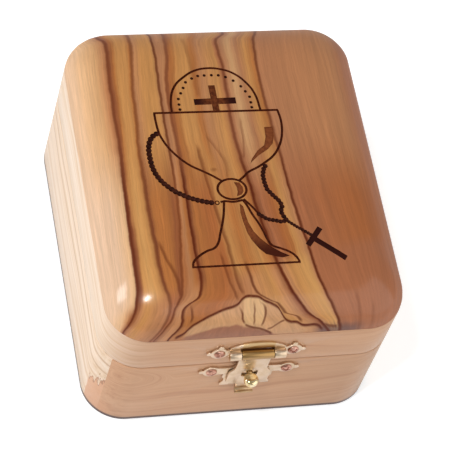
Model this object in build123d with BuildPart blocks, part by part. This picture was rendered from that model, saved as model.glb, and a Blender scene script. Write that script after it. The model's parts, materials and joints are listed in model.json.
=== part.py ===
from build123d import *
import os
from math import atan2, degrees, hypot, sqrt

# A small hinged keepsake box of olive wood with a brass turn-knob hasp.
# Millimetres. The origin is the centre of the underside, +Z is up and the latch faces -Y.

# Wooden box
width = 76.0
depth = 89.0
body_height = 27.7
seam_gap = 0.3
rim_height = 13.2
slab_thickness = 11.5
wall = 8.0
corner_radius = 10.6
bottom_thickness = 5.0
rabbet = 4.0
panel_gap = 0.1
foot_chamfer = 0.5
seam_chamfer = 0.25

# Round-over of the lid slab: a tight arc rises from the glue line and a wide one runs on to the flat top
crown_inset = 15.0
crown_edge_radius = 9.0

# Clearances
barrel_gap = 0.1
pin_running_gap = 0.05
pin_fixed_gap = 0.02
knuckle_gap = 0.15
notch_gap = 0.2
pilot_gap = 0.02
pilot_extra = 0.6
screw_hole_gap = 0.1

# Screw heads: the straight edge's share of the height and the flat top's share of the radius
head_edge_share = 0.4
head_top_share = 0.55

# Small butt hinges on the back
hinge_inset = 18.0
hinge_width = 14.0
hinge_middle_knuckle = 4.8
hinge_leaf_height = 8.6
hinge_leaf_thickness = 0.7
hinge_leaf_corner = 1.4
hinge_knuckle_radius = 1.6
hinge_pin_radius = 0.8
hinge_screw_spacing = 8.4
hinge_screw_drop = 5.2
hinge_head_radius = 1.2
hinge_head_height = 0.55
hinge_screw_radius = 0.6
hinge_screw_length = 5.5

# Latch sheet metal, screws and pivot
latch_thickness = 0.6
latch_head_radius = 1.4
latch_head_height = 0.7
latch_screw_radius = 0.7
latch_screw_length = 6.0
pivot_rise = 6.3
latch_knuckle_radius = 1.3
hasp_pin_radius = 0.6
hasp_knuckle_length = 8.2
plate_knuckle_length = 2.9

# Plate on the lid
top_screw_spacing = 18.8
top_screw_drop = 0.3
top_lobe_radius = 2.3
top_bridge_height = 2.4
top_shoulder_rise = 1.9
top_crest_rise = 4.3
finial_radius = 0.7
side_finial_reach = 2.6
upper_finial_reach = 2.7

# Plate on the body
catch_screw_spacing = 19.4
catch_screw_drop = 3.1
catch_lobe_radius = 2.2
catch_bridge_height = 3.0
catch_half_width = 6.4
catch_rise = 2.4
catch_fall = 7.3
upper_scallop_radius = 2.7
upper_scallop_rise = 0.9
lower_scallop_radius = 2.3
lower_scallop_reach = 1.7

# Swinging hasp, measured down from its pin
hasp_gap = 0.2
hasp_waist_drop = 7.0
hasp_shoulder_drop = 10.2
hasp_half_width = 5.4
hasp_hip_drop = 13.6
hasp_tail_drop = 16.0
hasp_tail_half_width = 2.4
lip_drop = 17.3
lip_radius = 1.3
lip_sweep = 110.0

# Turn knob: a ball with a flat above and below, which passes the slot only while the flats lie level
knob_radius = 1.9
knob_flat_height = 2.4
knob_reach = 3.5
knob_post_radius = 0.85
knob_slot_gap = 0.15
knob_slot_corner = 1.0
rivet_radius = 1.35
rivet_thickness = 0.5
rivet_gap = 0.05
rivet_pocket_gap = 0.3

# Levels, planes and places worked out from the sizes above
sides = ("front", "back", "left", "right")
lid_bottom = body_height + seam_gap
glue_line = lid_bottom + rim_height
pivot_height = lid_bottom + pivot_rise
top_screw_height = pivot_height - top_screw_drop
catch_screw_height = body_height - catch_screw_drop
catch_top = catch_screw_height + catch_rise
catch_bottom = catch_screw_height - catch_fall
inner_width = width - 2 * wall
inner_depth = depth - 2 * wall
panel_width = inner_width + 2 * rabbet
panel_depth = inner_depth + 2 * rabbet
front = Plane.XZ.offset(depth / 2)
back = Plane(origin=(0, depth / 2, 0), x_dir=(-1, 0, 0), z_dir=(0, 1, 0))
hinge_axis = (depth / 2 + barrel_gap + hinge_knuckle_radius, body_height + seam_gap / 2)
pivot_axis = (-depth / 2 - barrel_gap - latch_knuckle_radius, pivot_height)
hinge_centres = {"left": hinge_inset - width / 2, "right": width / 2 - hinge_inset}
top_screw_places = [(side * top_screw_spacing / 2, top_screw_height) for side in (-1, 1)]
catch_screw_places = [(side * catch_screw_spacing / 2, catch_screw_height) for side in (-1, 1)]
knob_place = (0, catch_screw_height)
os.makedirs("parts", exist_ok=True)


def hinge_screw_places(direction):
    """The screws of both hinges on the back plane: direction is -1 on the body and +1 on the lid."""
    height = hinge_axis[1] + direction * hinge_screw_drop
    return [
        (centre + side * hinge_screw_spacing / 2, height)
        for centre in hinge_centres.values()
        for side in (-1, 1)
    ]


def mitre_wedge(side):
    """One side's share of the box seen from above, between the two mitres that run through its corners."""
    x, y = width / 2, depth / 2
    inner_x, inner_y = inner_width / 2, inner_depth / 2
    corners = {
        "front": [(-x, -y), (x, -y), (inner_x, -inner_y), (-inner_x, -inner_y)],
        "back": [(x, y), (-x, y), (-inner_x, inner_y), (inner_x, inner_y)],
        "left": [(-x, y), (-x, -y), (-inner_x, -inner_y), (-inner_x, inner_y)],
        "right": [(x, -y), (x, y), (inner_x, inner_y), (inner_x, -inner_y)],
    }
    return Polygon(*corners[side], align=None)


def bore(plane, places, radius, length):
    """Round holes bored into the wood from a face."""
    with BuildSketch(plane) as holes:
        with Locations(*places):
            Circle(radius)
    extrude(holes.sketch, amount=-length, mode=Mode.SUBTRACT)


def bore_pilots(plane, places, screw_radius, screw_length):
    """Pilot holes for wood screws, a little wider and deeper than the screws."""
    bore(plane, places, screw_radius + pilot_gap, screw_length + pilot_extra)


def wood_screw(head_radius, head_height, screw_radius, length):
    """A pan-head screw: the head stands on the XY plane and the shank points down."""
    with BuildPart() as body:
        with BuildSketch(Plane.XZ):
            with BuildLine():
                Polyline(
                    (0, head_height),
                    (head_radius * head_top_share, head_height),
                    (head_radius, head_height * head_edge_share),
                    (head_radius, 0),
                    (screw_radius, 0),
                    (screw_radius, -length),
                    (0, -length),
                    close=True,
                )
            make_face()
        revolve(axis=Axis.Z)
    return body.part


def crown_section(half_width):
    """Half a cross-section of the lid slab, from its middle out to a side, standing on the X axis."""
    top_radius = (crown_inset**2 - 2 * crown_inset * crown_edge_radius + slab_thickness**2) / (
        2 * (slab_thickness - crown_edge_radius)
    )
    lean = degrees(atan2(crown_inset - crown_edge_radius, top_radius - slab_thickness))
    with BuildSketch() as section:
        with BuildLine():
            flat_top = Line((0, slab_thickness), (half_width - crown_inset, slab_thickness))
            wide_arc = JernArc(flat_top @ 1, (1, 0), top_radius, -lean)
            edge_arc = JernArc(wide_arc @ 1, wide_arc % 1, crown_edge_radius, lean - 90)
            Polyline(edge_arc @ 1, (0, 0), (0, slab_thickness))
        make_face()
    return section.sketch


def round_bar(axis, radius, start, length, mode=Mode.ADD):
    """A bar or bore along X from start, round a hinge axis given as (y, z)."""
    with BuildSketch(Plane.YZ.offset(start)) as section:
        with Locations(axis):
            Circle(radius)
    extrude(section.sketch, amount=length, mode=mode)


def save(name, part):
    """Labels a finished piece and writes it."""
    part.label = name
    export_step(part, "parts/" + name + ".step")


# Body: four mitred boards and the bottom panel let into their rabbet
for side in sides:
    with BuildPart() as body_board:
        with BuildSketch():
            RectangleRounded(width, depth, corner_radius)
        extrude(amount=body_height)
        chamfer(faces().sort_by(Axis.Z)[0].edges(), foot_chamfer)
        chamfer(faces().sort_by(Axis.Z)[-1].edges(), seam_chamfer)
        with BuildSketch():
            mitre_wedge(side)
        extrude(amount=body_height, mode=Mode.INTERSECT)
        with BuildSketch():
            Rectangle(panel_width, panel_depth)
        extrude(amount=bottom_thickness, mode=Mode.SUBTRACT)
        if side == "front":
            bore_pilots(front, catch_screw_places, latch_screw_radius, latch_screw_length)
            bore(front, [knob_place], rivet_radius + rivet_pocket_gap, rivet_thickness + rivet_pocket_gap)
        if side == "back":
            bore_pilots(back, hinge_screw_places(-1), hinge_screw_radius, hinge_screw_length)
    save(side + "_board", body_board.part)

with BuildPart() as bottom_panel:
    with BuildSketch():
        Rectangle(panel_width - 2 * panel_gap, panel_depth - 2 * panel_gap)
    extrude(amount=bottom_thickness)
save("bottom_panel", bottom_panel.part)

# Lid: a rim of the same four boards under the figured slab
for side in sides:
    with BuildPart() as lid_rail:
        with BuildSketch(Plane.XY.offset(lid_bottom)):
            RectangleRounded(width, depth, corner_radius)
        extrude(amount=rim_height)
        chamfer(faces().sort_by(Axis.Z)[0].edges(), seam_chamfer)
        with BuildSketch(Plane.XY.offset(lid_bottom)):
            mitre_wedge(side)
        extrude(amount=rim_height, mode=Mode.INTERSECT)
        if side == "front":
            bore_pilots(front, top_screw_places, latch_screw_radius, latch_screw_length)
        if side == "back":
            bore_pilots(back, hinge_screw_places(1), hinge_screw_radius, hinge_screw_length)
    save("lid_" + side + "_rail", lid_rail.part)

with BuildPart() as crown_corner:
    with BuildSketch(Plane.XZ):
        with Locations((corner_radius - width / 2, 0)):
            add(crown_section(width / 2))
        Rectangle(corner_radius, slab_thickness, align=(Align.MIN, Align.MIN), mode=Mode.INTERSECT)
    revolve(axis=Axis.Z, revolution_arc=90)

with BuildPart() as top_slab:
    with BuildSketch(Plane.XZ):
        add(crown_section(width / 2))
        mirror(about=Plane.YZ)
    extrude(amount=depth / 2, both=True)
    with BuildSketch(Plane.YZ) as long_section:
        add(crown_section(depth / 2))
        mirror(about=Plane.YZ)
    extrude(long_section.sketch, amount=width / 2, both=True, mode=Mode.INTERSECT)
    for turn, (x_side, y_side) in enumerate([(1, 1), (-1, 1), (-1, -1), (1, -1)]):
        corner = (x_side * (width / 2 - corner_radius), y_side * (depth / 2 - corner_radius), 0)
        with Locations(Location(corner, (0, 0, 90 * turn))):
            Box(corner_radius, corner_radius, slab_thickness, align=(Align.MIN,) * 3, mode=Mode.SUBTRACT)
            add(crown_corner.part)
save("top_slab", top_slab.part.moved(Location((0, 0, glue_line))))

# Hinges: the body leaf carries the two outer knuckles and the pin, the lid leaf the middle knuckle
outer_knuckle = (hinge_width - hinge_middle_knuckle) / 2 - knuckle_gap
for name, centre in hinge_centres.items():
    start = centre - hinge_width / 2
    middle_knuckle_at = [(centre - hinge_middle_knuckle / 2, hinge_middle_knuckle)]
    outer_knuckles_at = [(start, outer_knuckle), (start + hinge_width - outer_knuckle, outer_knuckle)]
    leaves = {
        "body": (-1, pin_fixed_gap, outer_knuckles_at, middle_knuckle_at),
        "lid": (1, pin_running_gap, middle_knuckle_at, outer_knuckles_at),
    }
    for owner, (direction, bore_gap, own_knuckles, notches) in leaves.items():
        with BuildPart() as leaf:
            with BuildSketch(back):
                with Locations((-centre, hinge_axis[1] + direction * hinge_leaf_height / 2)):
                    Rectangle(hinge_width, hinge_leaf_height)
                far_corners = vertices().sort_by(Axis.Y, reverse=direction > 0)[:2]
                fillet(far_corners, hinge_leaf_corner)
                for notch_start, notch_length in notches:
                    with Locations((-notch_start - notch_length / 2, hinge_axis[1])):
                        Rectangle(
                            notch_length + 2 * knuckle_gap,
                            2 * (hinge_knuckle_radius + notch_gap),
                            mode=Mode.SUBTRACT,
                        )
                with Locations(*hinge_screw_places(direction)):
                    Circle(hinge_screw_radius + screw_hole_gap, mode=Mode.SUBTRACT)
            extrude(amount=hinge_leaf_thickness)
            for knuckle_start, knuckle_length in own_knuckles:
                round_bar(hinge_axis, hinge_knuckle_radius, knuckle_start, knuckle_length)
            round_bar(hinge_axis, hinge_pin_radius + bore_gap, start, hinge_width, Mode.SUBTRACT)
        save(name + "_hinge_" + owner + "_leaf", leaf.part)
    with BuildPart() as hinge_pin:
        round_bar(hinge_axis, hinge_pin_radius, start, hinge_width)
    save(name + "_hinge_pin", hinge_pin.part)

hinge_screw = wood_screw(hinge_head_radius, hinge_head_height, hinge_screw_radius, hinge_screw_length)
for owner, direction in {"body": -1, "lid": 1}.items():
    with BuildPart() as hinge_screws:
        for x, z in hinge_screw_places(direction):
            with Locations(back.location * Location((x, z, hinge_leaf_thickness))):
                add(hinge_screw)
    save("hinge_" + owner + "_screws", hinge_screws.part)

# Latch plate on the lid: two screw lobes with finials, a crest and the outer pivot knuckles
notch_length = hasp_knuckle_length + 2 * knuckle_gap
pivot_length = notch_length + 2 * plate_knuckle_length
with BuildPart() as latch_top_plate:
    with BuildSketch(front):
        shoulder_height = pivot_height + top_shoulder_rise
        with BuildLine():
            crest = ThreePointArc(
                (-pivot_length / 2, shoulder_height),
                (0, pivot_height + top_crest_rise),
                (pivot_length / 2, shoulder_height),
            )
            Polyline(
                crest @ 1,
                (pivot_length / 2, pivot_height),
                (-pivot_length / 2, pivot_height),
                crest @ 0,
            )
        make_face()
        with Locations((0, pivot_height)):
            Rectangle(top_screw_spacing, top_bridge_height)
            Rectangle(notch_length, 2 * (latch_knuckle_radius + notch_gap), mode=Mode.SUBTRACT)
        for x, z in top_screw_places:
            outward = side_finial_reach if x > 0 else -side_finial_reach
            with Locations((x, z)):
                Circle(top_lobe_radius)
                Circle(latch_screw_radius + screw_hole_gap, mode=Mode.SUBTRACT)
            with Locations((x + outward, z), (x, z + upper_finial_reach)):
                Circle(finial_radius)
    extrude(amount=latch_thickness)
    for knuckle_start in (-pivot_length / 2, notch_length / 2):
        round_bar(pivot_axis, latch_knuckle_radius, knuckle_start, plate_knuckle_length)
    round_bar(pivot_axis, hasp_pin_radius + pin_fixed_gap, -pivot_length / 2, pivot_length, Mode.SUBTRACT)
save("latch_top_plate", latch_top_plate.part)

with BuildPart() as hasp_pin:
    round_bar(pivot_axis, hasp_pin_radius, -pivot_length / 2, pivot_length)
save("hasp_pin", hasp_pin.part)

# Latch plate on the body: two screw lobes, scalloped flanks and the bore of the turn knob
with BuildPart() as catch_plate:
    with BuildSketch(front):
        with Locations((0, (catch_bottom + catch_top) / 2)):
            Rectangle(2 * catch_half_width, catch_top - catch_bottom)
        lower_scallop_height = (catch_bottom + catch_screw_height - catch_lobe_radius) / 2
        for flank in (-1, 1):
            with Locations((flank * catch_half_width, catch_top + upper_scallop_rise)):
                Circle(upper_scallop_radius, mode=Mode.SUBTRACT)
            with Locations((flank * (catch_half_width + lower_scallop_reach), lower_scallop_height)):
                Circle(lower_scallop_radius, mode=Mode.SUBTRACT)
        with Locations((0, catch_screw_height)):
            Rectangle(catch_screw_spacing, catch_bridge_height)
        for x, z in catch_screw_places:
            outward = side_finial_reach if x > 0 else -side_finial_reach
            with Locations((x, z)):
                Circle(catch_lobe_radius)
                Circle(latch_screw_radius + screw_hole_gap, mode=Mode.SUBTRACT)
            with Locations((x + outward, z)):
                Circle(finial_radius)
        with Locations(knob_place):
            Circle(knob_post_radius + pin_running_gap, mode=Mode.SUBTRACT)
    extrude(amount=latch_thickness)
save("catch_plate", catch_plate.part)

latch_screw = wood_screw(latch_head_radius, latch_head_height, latch_screw_radius, latch_screw_length)
for name, places in {"latch_top_screws": top_screw_places, "catch_screws": catch_screw_places}.items():
    with BuildPart() as latch_screws:
        for x, z in places:
            with Locations(front.location * Location((x, z, latch_thickness))):
                add(latch_screw)
    save(name, latch_screws.part)

# Hasp: its slot is as tall as the path of the knob's flats when the hasp swings about its pin
flat_reach = sqrt(knob_radius**2 - (knob_flat_height / 2) ** 2)
knob_drop = pivot_height - catch_screw_height
knob_forward = knob_reach - barrel_gap - latch_knuckle_radius
slot_far = hypot(knob_forward + flat_reach, knob_drop + knob_flat_height / 2) + knob_slot_gap
slot_near = hypot(knob_forward - flat_reach, knob_drop - knob_flat_height / 2) - knob_slot_gap
slot_width = 2 * (knob_radius + knob_slot_gap)
hasp_back = latch_thickness + hasp_gap
lip_height = pivot_height - lip_drop
lip_centre = (-depth / 2 - hasp_back - lip_radius, lip_height)
with BuildPart() as hasp:
    with BuildSketch(front.offset(hasp_back)):
        with BuildLine():
            waist = (hasp_knuckle_length / 2, pivot_height - hasp_waist_drop)
            shoulder = (hasp_half_width, pivot_height - hasp_shoulder_drop)
            hip = (hasp_half_width, pivot_height - hasp_hip_drop)
            tail = (hasp_tail_half_width, pivot_height - hasp_tail_drop)
            Polyline((0, pivot_height), (hasp_knuckle_length / 2, pivot_height), waist)
            Spline(waist, shoulder, tangents=[(0, -1), (0, -1)])
            Line(shoulder, hip)
            Spline(hip, tail, tangents=[(0, -1), (0, -1)])
            Polyline(tail, (hasp_tail_half_width, lip_height), (0, lip_height))
            mirror(about=Plane.YZ)
        make_face()
        with Locations((0, pivot_height - (slot_far + slot_near) / 2)):
            RectangleRounded(slot_width, slot_far - slot_near, knob_slot_corner, mode=Mode.SUBTRACT)
    extrude(amount=latch_thickness)
    with BuildSketch(Plane.YZ) as lip_section:
        with BuildLine():
            outside = CenterArc(lip_centre, lip_radius, 0, -lip_sweep)
            inside = CenterArc(lip_centre, lip_radius - latch_thickness, 0, -lip_sweep)
            Line(outside @ 0, inside @ 0)
            Line(outside @ 1, inside @ 1)
        make_face()
    extrude(lip_section.sketch, amount=hasp_tail_half_width, both=True)
    round_bar(pivot_axis, latch_knuckle_radius, -hasp_knuckle_length / 2, hasp_knuckle_length)
    bore_radius = hasp_pin_radius + pin_running_gap
    round_bar(pivot_axis, bore_radius, -hasp_knuckle_length / 2, hasp_knuckle_length, Mode.SUBTRACT)
save("hasp", hasp.part)

# Turn knob: riveted over behind the plate, in a pocket of the board
with BuildPart() as turn_knob:
    with Locations((0, -depth / 2 - knob_reach, catch_screw_height)):
        Sphere(knob_radius)
        Box(2 * knob_radius, 2 * knob_radius, knob_flat_height, mode=Mode.INTERSECT)
    with BuildSketch(front.offset(-rivet_gap)) as post:
        with Locations(knob_place):
            Circle(knob_post_radius)
    extrude(post.sketch, amount=knob_reach + rivet_gap)
    with BuildSketch(front.offset(-rivet_gap)) as rivet:
        with Locations(knob_place):
            Circle(rivet_radius)
    extrude(rivet.sketch, amount=-rivet_thickness)
save("turn_knob", turn_knob.part)
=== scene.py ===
import bpy
import bmesh
import json
from math import cos, pi, radians, sin
from mathutils import Matrix, Vector

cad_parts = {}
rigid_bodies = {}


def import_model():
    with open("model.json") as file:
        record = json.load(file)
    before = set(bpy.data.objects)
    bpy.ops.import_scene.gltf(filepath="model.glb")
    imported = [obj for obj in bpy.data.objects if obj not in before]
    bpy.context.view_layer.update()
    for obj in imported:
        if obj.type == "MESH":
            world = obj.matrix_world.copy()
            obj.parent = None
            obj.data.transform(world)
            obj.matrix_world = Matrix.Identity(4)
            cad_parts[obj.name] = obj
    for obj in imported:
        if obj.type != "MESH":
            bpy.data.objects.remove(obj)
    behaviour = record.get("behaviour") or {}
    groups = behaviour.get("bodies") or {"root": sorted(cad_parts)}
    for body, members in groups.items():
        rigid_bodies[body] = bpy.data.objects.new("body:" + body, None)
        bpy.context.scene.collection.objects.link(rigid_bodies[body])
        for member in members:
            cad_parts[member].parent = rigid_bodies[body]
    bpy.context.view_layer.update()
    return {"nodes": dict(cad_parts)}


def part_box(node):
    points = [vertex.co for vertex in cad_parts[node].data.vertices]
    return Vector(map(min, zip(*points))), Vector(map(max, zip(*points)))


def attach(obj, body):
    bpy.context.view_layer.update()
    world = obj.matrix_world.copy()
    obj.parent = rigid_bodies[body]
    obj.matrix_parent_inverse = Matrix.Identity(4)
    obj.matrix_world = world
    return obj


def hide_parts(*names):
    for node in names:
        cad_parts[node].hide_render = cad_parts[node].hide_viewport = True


# Olive-wood keepsake box. Sizes in the dictionaries are millimetres, the origin is the centre of the underside.
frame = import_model()
nodes = frame["nodes"]
mm = 0.001
scene = bpy.context.scene


# small helpers
def tone(red, green, blue):  # a screen colour, 0 to 255, as Blender's linear one
    channels = (channel / 255 for channel in (red, green, blue))
    return tuple(((c + 0.055) / 1.055) ** 2.4 if c > 0.04 else c / 12.92 for c in channels) + (1,)


drawing = {"tree": None}  # the node tree at hand, set by newGroup and newMaterial


def plug(socket, value):  # links another node's socket, or sets a fixed value
    if isinstance(value, bpy.types.NodeSocket):
        drawing["tree"].links.new(value, socket)
    else:
        socket.default_value = value


def addNode(kind, inputs=None, **settings):
    node = drawing["tree"].nodes.new(kind)
    for key, value in settings.items():
        setattr(node, key, value)
    for key, value in (inputs or {}).items():
        plug(node.inputs[key], value)
    return node


def calc(operation, *values, clamp=False):
    inputs = dict(enumerate(values))
    return addNode("ShaderNodeMath", inputs, operation=operation, use_clamp=clamp).outputs[0]


def chain(operation, values):
    result = values[0]
    for value in values[1:]:
        result = calc(operation, result, value)
    return result


def total(*values):
    return chain("ADD", values)


def product(*values):
    return chain("MULTIPLY", values)


def less(first, second):
    return calc("SUBTRACT", first, second)


def linear(value, factor, offset):
    return calc("MULTIPLY_ADD", value, factor, offset)


def sumSquares(*values):
    return total(*[product(value, value) for value in values])


def fade(value, low, high, start=0, end=1):
    inputs = {"Value": value, "From Min": low, "From Max": high, "To Min": start, "To Max": end}
    return addNode("ShaderNodeMapRange", inputs, interpolation_type="SMOOTHSTEP").outputs["Result"]


def band(value, low, lowEnd, high, highEnd):  # full from lowEnd to high, nothing below low or above highEnd
    return product(fade(value, low, lowEnd), fade(value, high, highEnd, 1, 0))


def joinAxes(x=0, y=0, z=0):
    return addNode("ShaderNodeCombineXYZ", {"X": x, "Y": y, "Z": z}).outputs[0]


def noise(vector, detail=2, roughness=0.5):
    inputs = {"Vector": vector, "Scale": 1, "Detail": detail, "Roughness": roughness}
    return addNode("ShaderNodeTexNoise", inputs).outputs["Fac"]


def blendColours(mask, first, second, mode="MIX"):
    inputs = {0: mask, 6: first, 7: second}
    return addNode("ShaderNodeMix", inputs, data_type="RGBA", blend_type=mode).outputs[2]


def stain(colour, mask, screenTone, strength=1):
    return blendColours(product(mask, strength), colour, tone(*screenTone))


def shadeBy(colour, shade):
    return blendColours(1, colour, joinAxes(shade, shade, shade), "MULTIPLY")


def ramp(value, stops, low, high):  # stops are (place, (red, green, blue)) between low and high
    share = calc("DIVIDE", less(value, low), high - low)
    node = addNode("ShaderNodeValToRGB", {"Fac": share})
    points = node.color_ramp.elements
    while len(points) < len(stops):
        points.new(0.5)
    for point, (place, colour) in zip(points, stops):
        point.position = (place - low) / (high - low)
        point.color = tone(*colour)
    return node.outputs["Color"]


def follow(value, points, reach, outReach):  # a smooth line through given points, both ways from zero
    share = calc("DIVIDE", less(value, -reach), 2 * reach)
    node = addNode("ShaderNodeFloatCurve", {"Value": share})
    line = node.mapping.curves[0]
    points = sorted(points)
    while len(line.points) < len(points):
        line.points.new(0.5, 0.5)
    for knot, (place, height) in zip(line.points, points):
        knot.location = ((place + reach) / (2 * reach), (height + outReach) / (2 * outReach))
    node.mapping.extend = "HORIZONTAL"
    node.mapping.update()
    return linear(node.outputs[0], 2 * outReach, -outReach)


def newGroup(name, inputs, outputs):
    group = drawing["tree"] = bpy.data.node_groups.new(name, "ShaderNodeTree")
    for direction, keys in (("INPUT", inputs), ("OUTPUT", outputs)):
        for key in keys:
            group.interface.new_socket(name=key, in_out=direction, socket_type="NodeSocketFloat")
    return group, group.nodes.new("NodeGroupInput").outputs, group.nodes.new("NodeGroupOutput").inputs


def placeGroup(group, **inputs):
    return addNode("ShaderNodeGroup", inputs, node_tree=group).outputs


def newMaterial(name, **fixed):
    material = bpy.data.materials.new(name)
    material.use_nodes = True
    drawing["tree"] = material.node_tree
    surface = material.node_tree.nodes["Principled BSDF"].inputs
    for key, value in fixed.items():
        plug(surface[key.replace("_", " ")], value)
    return material, surface


def objectMillimetres():
    place = addNode("ShaderNodeTexCoord").outputs["Object"]
    inputs = {0: place, 1: (1 / mm, 1 / mm, 1 / mm)}
    scaled = addNode("ShaderNodeVectorMath", inputs, operation="MULTIPLY").outputs[0]
    return addNode("ShaderNodeSeparateXYZ", {0: scaled}).outputs


def addRelief(surface, height, distance, strength):
    inputs = {"Height": height, "Distance": distance * mm, "Strength": strength}
    plug(surface["Normal"], addNode("ShaderNodeBump", inputs).outputs[0])


# effects shared by the materials
# grain streaks and pores: Along runs with the fibres, Across and Deep cut them, all in millimetres
woodGrain, grainIn, grainOut = newGroup("woodGrain", ("Along", "Across", "Deep"), ("Streak", "Fine", "Pores"))


def grainNoise(across, along, detail, roughness=0.5):
    scales = {"Across": across, "Along": along, "Deep": across}
    return noise(joinAxes(*[product(grainIn[key], scale) for key, scale in scales.items()]), detail, roughness)


plug(grainOut["Streak"], grainNoise(0.8, 0.025, 3, 0.55))
plug(grainOut["Fine"], grainNoise(3.2, 0.09, 3, 0.6))
plug(grainOut["Pores"], fade(grainNoise(5.5, 0.5, 1), 0.66, 0.8))


def finishWood(surface, grain, roughening):  # roughness and the faint relief of the grain
    plug(surface["Roughness"], linear(grain["Fine"], roughening, 0.36))
    height = less(product(grain["Fine"], 0.4), grain["Pores"])
    addRelief(surface, height, 0.02, 0.5)


# one vein: darkest at Centre, fading over Left on one side of it and over Right on the other
veinLine, veinIn, veinOut = newGroup("veinLine", ("Across", "Centre", "Left", "Right"), ("Mask",))
veinCore = 0.08  # half the width of the darkest line
offCentre = less(veinIn["Across"], veinIn["Centre"])
leftEdge = product(veinIn["Left"], -1)
plug(veinOut["Mask"], band(offCentre, leftEdge, -veinCore, veinCore, veinIn["Right"]))

# fine scratches and smudges of handled metal
metalWear, wearIn, wearOut = newGroup("metalWear", ("X", "Y", "Z"), ("Smudge", "Brush"))
for key, scales, detail in (("Smudge", (0.55, 0.55, 0.55), 3), ("Brush", (1.2, 9, 9), 2)):
    wearPlace = joinAxes(*[product(wearIn[axis], scale) for axis, scale in zip("XYZ", scales)])
    plug(wearOut[key], noise(wearPlace, detail, 0.6))


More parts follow.
